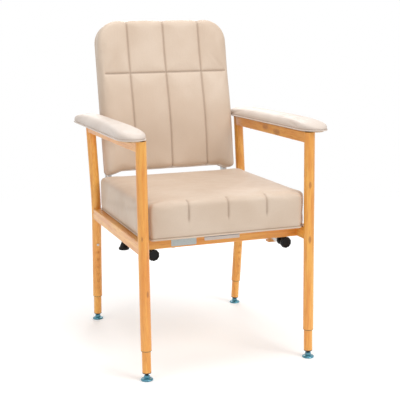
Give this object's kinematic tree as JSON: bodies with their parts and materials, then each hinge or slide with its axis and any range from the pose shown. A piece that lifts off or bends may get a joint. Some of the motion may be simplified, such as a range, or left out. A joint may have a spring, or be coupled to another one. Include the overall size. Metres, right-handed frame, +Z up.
{
  "type": "padded adjustable day chair",
  "caption": "Padded armchair on a timber-look steel tube frame with telescoping legs, push-button height holes, tilting feet and a raked back that slides fore and aft.",
  "frame": {"origin": "on the floor, at the centre of the chair's bounding box", "axes": "+Z up, -Y towards the front of the chair, +X to the right seen from the front; the left side in node names is -X"},
  "size_m": [0.612, 0.6722, 0.9756],
  "materials": {
    "timber_finish": "satin timber-look film on steel tube",
    "seat_vinyl": "matte",
    "arm_vinyl": "matte",
    "plywood": "matte",
    "covered_board": "plywood wrapped in matte vinyl",
    "zinc": "satin",
    "plug_plastic": "matte",
    "guide_plastic": "satin",
    "knob_plastic": "satin",
    "glide": "gloss",
    "label_film": "satin"
  },
  "bodies": {
    "frame": {"front_leg_left": "timber_finish", "front_leg_right": "timber_finish", "rear_leg_left": "timber_finish", "rear_leg_right": "timber_finish", "side_rail_left": "timber_finish", "side_rail_right": "timber_finish", "arm_rail_left": "timber_finish", "arm_rail_right": "timber_finish", "arm_board_left": "plywood", "arm_board_right": "plywood", "arm_pad_left": "arm_vinyl", "arm_pad_right": "arm_vinyl", "front_guide_left": "guide_plastic", "front_guide_right": "guide_plastic", "clamp_guide_left": "guide_plastic", "clamp_guide_right": "guide_plastic", "front_rail": "timber_finish", "rear_rail": "timber_finish", "leg_bushes": "plug_plastic", "seat_board": "plywood", "seat_cushion": "seat_vinyl", "seat_screws": "zinc", "arm_screws": "zinc", "guide_screws": "zinc", "rail_labels": "label_film"},
    "back": {"runner_left": "zinc", "runner_right": "zinc", "back_post_left": "zinc", "back_post_right": "zinc", "post_caps": "plug_plastic", "back_brace": "zinc", "back_board": "covered_board", "back_cushion": "seat_vinyl", "back_screws": "zinc", "runner_plugs": "plug_plastic"},
    "leg_front_left": {"sliding_leg_front_left": "timber_finish", "leg_plug_front_left": "plug_plastic", "button_spring_front_left": "zinc"},
    "button_front_left": {"snap_button_front_left": "zinc"},
    "foot_front_left": {"foot_front_left": "glide"},
    "leg_front_right": {"sliding_leg_front_right": "timber_finish", "leg_plug_front_right": "plug_plastic", "button_spring_front_right": "zinc"},
    "button_front_right": {"snap_button_front_right": "zinc"},
    "foot_front_right": {"foot_front_right": "glide"},
    "leg_rear_left": {"sliding_leg_rear_left": "timber_finish", "leg_plug_rear_left": "plug_plastic", "button_spring_rear_left": "zinc"},
    "button_rear_left": {"snap_button_rear_left": "zinc"},
    "foot_rear_left": {"foot_rear_left": "glide"},
    "leg_rear_right": {"sliding_leg_rear_right": "timber_finish", "leg_plug_rear_right": "plug_plastic", "button_spring_rear_right": "zinc"},
    "button_rear_right": {"snap_button_rear_right": "zinc"},
    "foot_rear_right": {"foot_rear_right": "glide"},
    "end_knob_left": {"end_knob_left": "knob_plastic"},
    "clamp_knob_left": {"clamp_knob_left": "knob_plastic"},
    "end_knob_right": {"end_knob_right": "knob_plastic"},
    "clamp_knob_right": {"clamp_knob_right": "knob_plastic"}
  },
  "joints": [
    {"name": "leg_slide_front_left", "type": "slide", "parent": "frame", "child": "leg_front_left", "axis": [0, 0, -1], "range_m": [0, 0.1524]},
    {"name": "button_press_front_left", "type": "slide", "parent": "leg_front_left", "child": "button_front_left", "axis": [0, 1, 0], "range_m": [-0.005, 0], "stiffness_N_per_m": 500, "springref_m": 0.004, "deforming": ["button_spring_front_left"]},
    {"name": "foot_tilt_front_left", "type": "hinge", "parent": "leg_front_left", "child": "foot_front_left", "pos_m": [-0.245, -0.3091, 0.013], "axis": [1, 0, 0], "range_deg": [-10, 10]},
    {"name": "leg_slide_front_right", "type": "slide", "parent": "frame", "child": "leg_front_right", "axis": [0, 0, -1], "range_m": [0, 0.1524]},
    {"name": "button_press_front_right", "type": "slide", "parent": "leg_front_right", "child": "button_front_right", "axis": [0, 1, 0], "range_m": [-0.005, 0], "stiffness_N_per_m": 500, "springref_m": 0.004, "deforming": ["button_spring_front_right"]},
    {"name": "foot_tilt_front_right", "type": "hinge", "parent": "leg_front_right", "child": "foot_front_right", "pos_m": [0.245, -0.3091, 0.013], "axis": [1, 0, 0], "range_deg": [-10, 10]},
    {"name": "leg_slide_rear_left", "type": "slide", "parent": "frame", "child": "leg_rear_left", "axis": [0.0116, 0.1478, -0.9889], "range_m": [0, 0.1524]},
    {"name": "button_press_rear_left", "type": "slide", "parent": "leg_rear_left", "child": "button_rear_left", "axis": [0.0017, -0.989, -0.1478], "range_m": [-0.005, 0], "stiffness_N_per_m": 500, "springref_m": 0.004, "deforming": ["button_spring_rear_left"]},
    {"name": "foot_tilt_rear_left", "type": "hinge", "parent": "leg_rear_left", "child": "foot_rear_left", "pos_m": [-0.24615, 0.27798, 0.01286], "axis": [1, 0, 0], "range_deg": [-10, 10]},
    {"name": "leg_slide_rear_right", "type": "slide", "parent": "frame", "child": "leg_rear_right", "axis": [-0.0116, 0.1478, -0.9889], "range_m": [0, 0.1524]},
    {"name": "button_press_rear_right", "type": "slide", "parent": "leg_rear_right", "child": "button_rear_right", "axis": [-0.0017, -0.989, -0.1478], "range_m": [-0.005, 0], "stiffness_N_per_m": 500, "springref_m": 0.004, "deforming": ["button_spring_rear_right"]},
    {"name": "foot_tilt_rear_right", "type": "hinge", "parent": "leg_rear_right", "child": "foot_rear_right", "pos_m": [0.24615, 0.27798, 0.01286], "axis": [1, 0, 0], "range_deg": [-10, 10]},
    {"name": "back_slide", "type": "slide", "parent": "frame", "child": "back", "axis": [0, 1, 0], "range_m": [-0.012, 0.05]},
    {"name": "end_knob_turn_left", "type": "hinge", "parent": "back", "child": "end_knob_left", "pos_m": [-0.2, -0.2291, 0.335], "axis": [0, 1, 0], "continuous": true},
    {"name": "clamp_knob_turn_left", "type": "hinge", "parent": "frame", "child": "clamp_knob_left", "pos_m": [-0.2, 0.0789, 0.3], "axis": [0, 0, 1], "continuous": true},
    {"name": "end_knob_turn_right", "type": "hinge", "parent": "back", "child": "end_knob_right", "pos_m": [0.2, -0.2291, 0.335], "axis": [0, 1, 0], "continuous": true},
    {"name": "clamp_knob_turn_right", "type": "hinge", "parent": "frame", "child": "clamp_knob_right", "pos_m": [0.2, 0.0789, 0.3], "axis": [0, 0, 1], "continuous": true}
  ]
}
